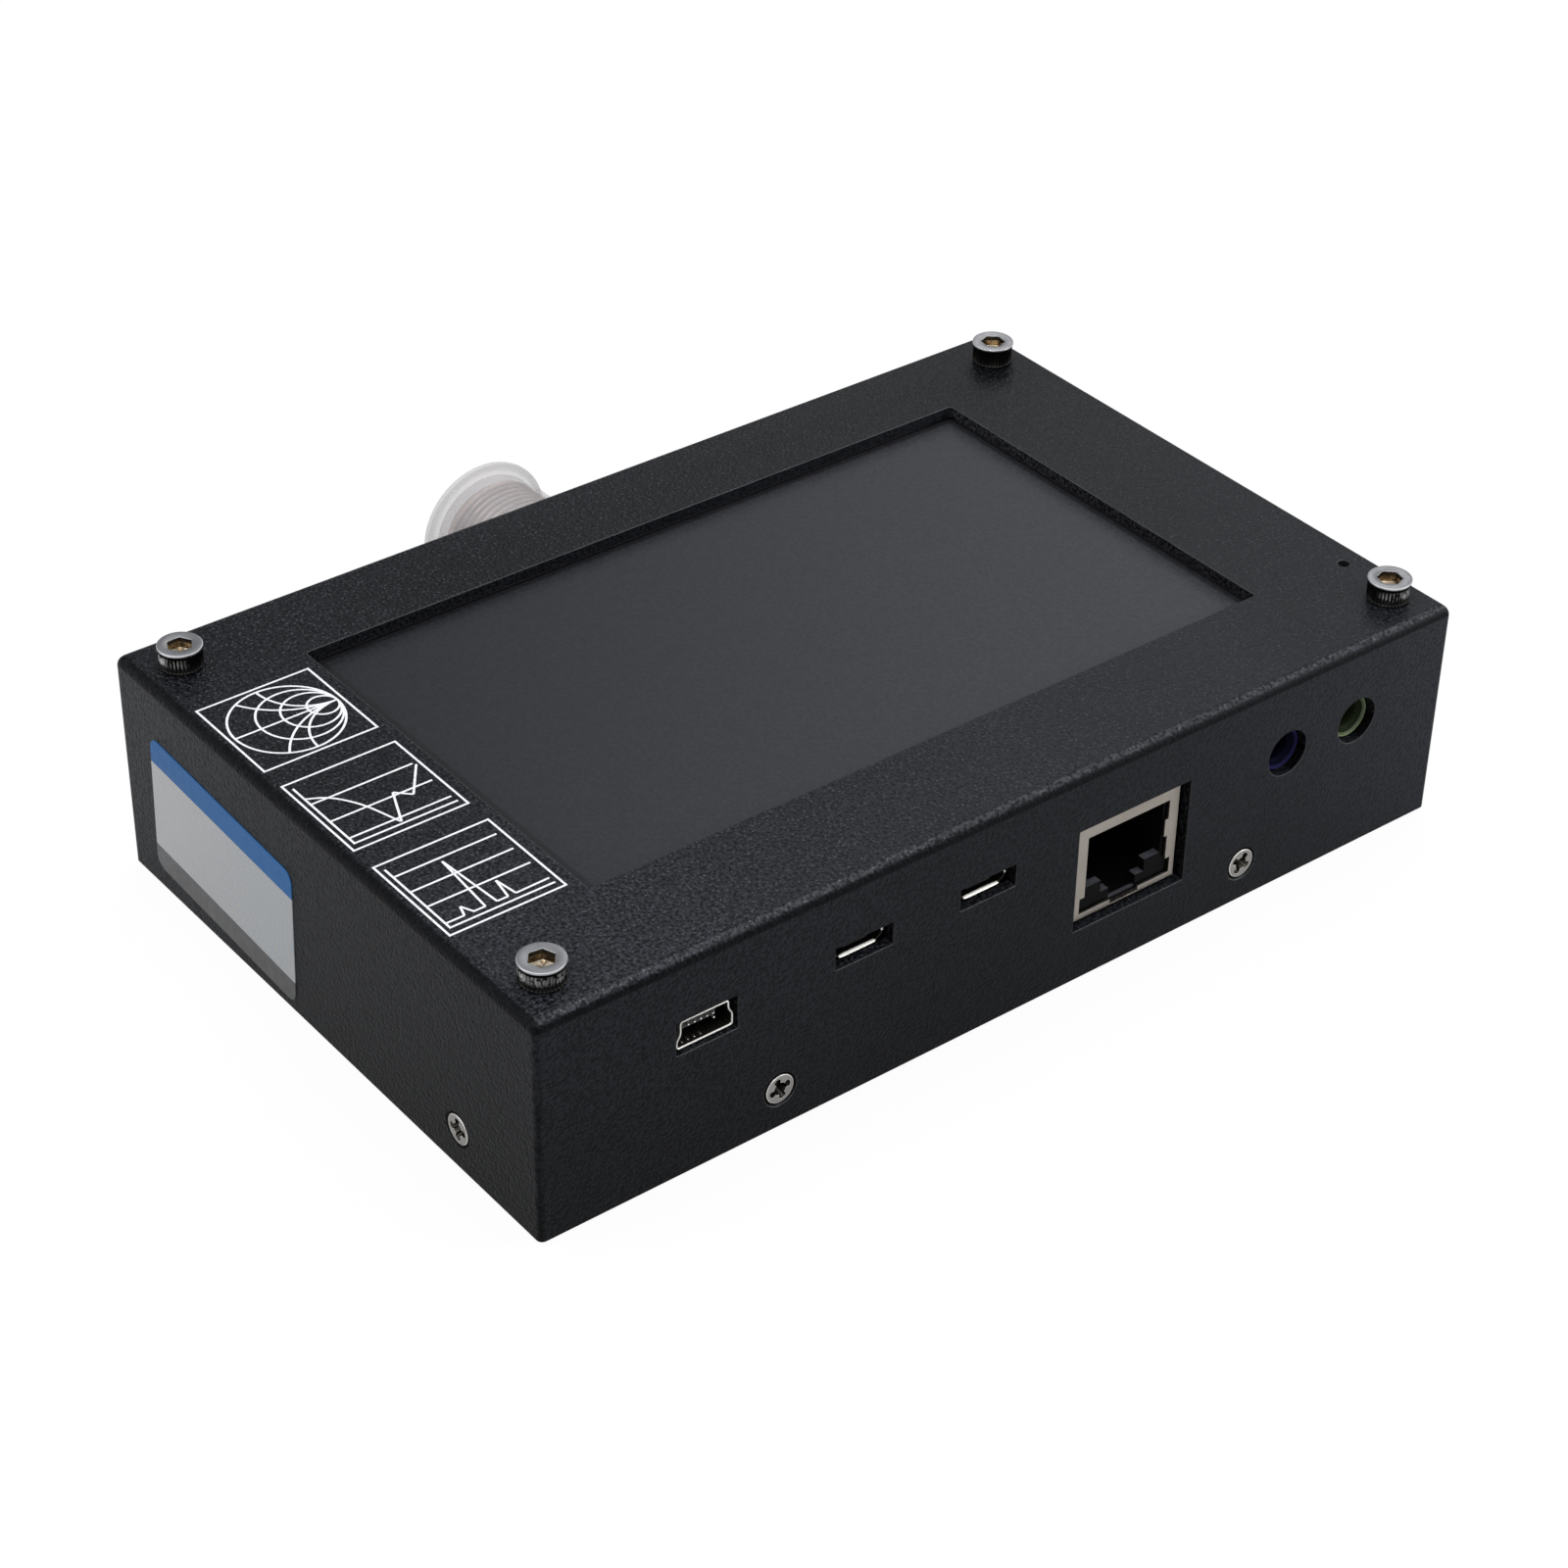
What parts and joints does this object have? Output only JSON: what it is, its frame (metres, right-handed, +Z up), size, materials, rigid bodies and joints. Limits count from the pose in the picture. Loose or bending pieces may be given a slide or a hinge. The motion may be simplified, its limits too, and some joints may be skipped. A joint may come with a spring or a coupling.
{
  "type": "antenna analyzer",
  "caption": "Hand-held antenna analyzer: black folded sheet case with a touch screen on top, a row of data and audio sockets at the front and a capped coaxial aerial socket at the back",
  "frame": {"origin": "centre of the case's underside", "axes": "+X to the right along the connector face, +Y from the connector face towards the aerial socket, +Z up out of the screen"},
  "size_m": [0.1381, 0.1079, 0.0335],
  "materials": {
    "case_paint": "fine-textured matt black powder coat",
    "stainless": "plain stainless steel",
    "plated_brass": "nickel-plated brass",
    "circuit_board": "green solder mask",
    "black_plastic": "moulded matt",
    "gold_contact": "gold flashed",
    "cap_plastic": "translucent polyethylene, satin",
    "cell_foil": "satin foil pouch",
    "foam": "closed-cell foam",
    "lamp": "clear moulded lamp",
    "label_film": "printed polyester, satin",
    "screen_glass": "satin touch film on glass",
    "display": "dark display, unlit",
    "nickel_shell": "nickel-plated steel sheet",
    "nickel_brass": "nickel plate, satin",
    "white_plastic": "turned fluoropolymer",
    "lead_red": "silicone sleeve",
    "lead_black": "silicone sleeve",
    "jack_blue": "moulded, satin",
    "jack_green": "moulded, satin"
  },
  "bodies": {
    "case": {"aerial_lead": "lead_black", "battery": "cell_foil", "battery_lead_black": "lead_black", "battery_lead_red": "lead_red", "battery_tape": "foam", "board_posts": "plated_brass", "board_screws": "stainless", "bottom_plate": "case_paint", "cap_screws": "stainless", "charger_board": "circuit_board", "charger_pad": "foam", "charger_port_insert": "black_plastic", "charger_port_shell": "nickel_shell", "charging_led": "lamp", "clinch_nuts": "stainless", "codec_chip": "black_plastic", "header_pins": "gold_contact", "header_plugs": "black_plastic", "header_sockets": "black_plastic", "label": "label_film", "lcd_frame": "display", "lcd_tape": "foam", "led_leads": "lead_black", "line_in_barrel": "jack_blue", "line_in_body": "jack_blue", "line_out_barrel": "jack_green", "line_out_body": "jack_green", "main_board": "circuit_board", "mcu_chip": "black_plastic", "micro_usb_insert_left": "black_plastic", "micro_usb_insert_right": "black_plastic", "micro_usb_shell_left": "nickel_shell", "micro_usb_shell_right": "nickel_shell", "mini_usb_insert": "black_plastic", "mini_usb_shell": "nickel_shell", "n_body": "nickel_brass", "n_contact": "gold_contact", "n_insulator": "white_plastic", "n_nut": "nickel_brass", "n_washer": "stainless", "pillars": "plated_brass", "rf_board": "circuit_board", "rf_shield_can": "nickel_shell", "rj45_contacts": "gold_contact", "rj45_insert": "black_plastic", "rj45_shield": "nickel_shell", "screen_gasket": "foam", "sdram_chip": "black_plastic", "side_screws": "stainless", "switch_blades": "gold_contact", "switch_housing": "black_plastic", "switch_leads": "lead_red", "synth_chip": "black_plastic", "top_cover": "case_paint", "touch_glass": "screen_glass"},
    "dust_cap": {"dust_cap": "cap_plastic"},
    "rocker": {"switch_rocker": "black_plastic"}
  },
  "joints": [
    {"name": "dust_cap_pull", "type": "slide", "parent": "case", "child": "dust_cap", "axis": [0, 1, 0], "range_m": [0, 0.02]},
    {"name": "power_rocker", "type": "hinge", "parent": "case", "child": "rocker", "pos_m": [0.044, 0.04385, 0.01525], "axis": [0, 0, 1], "range_deg": [-22, 0]}
  ]
}
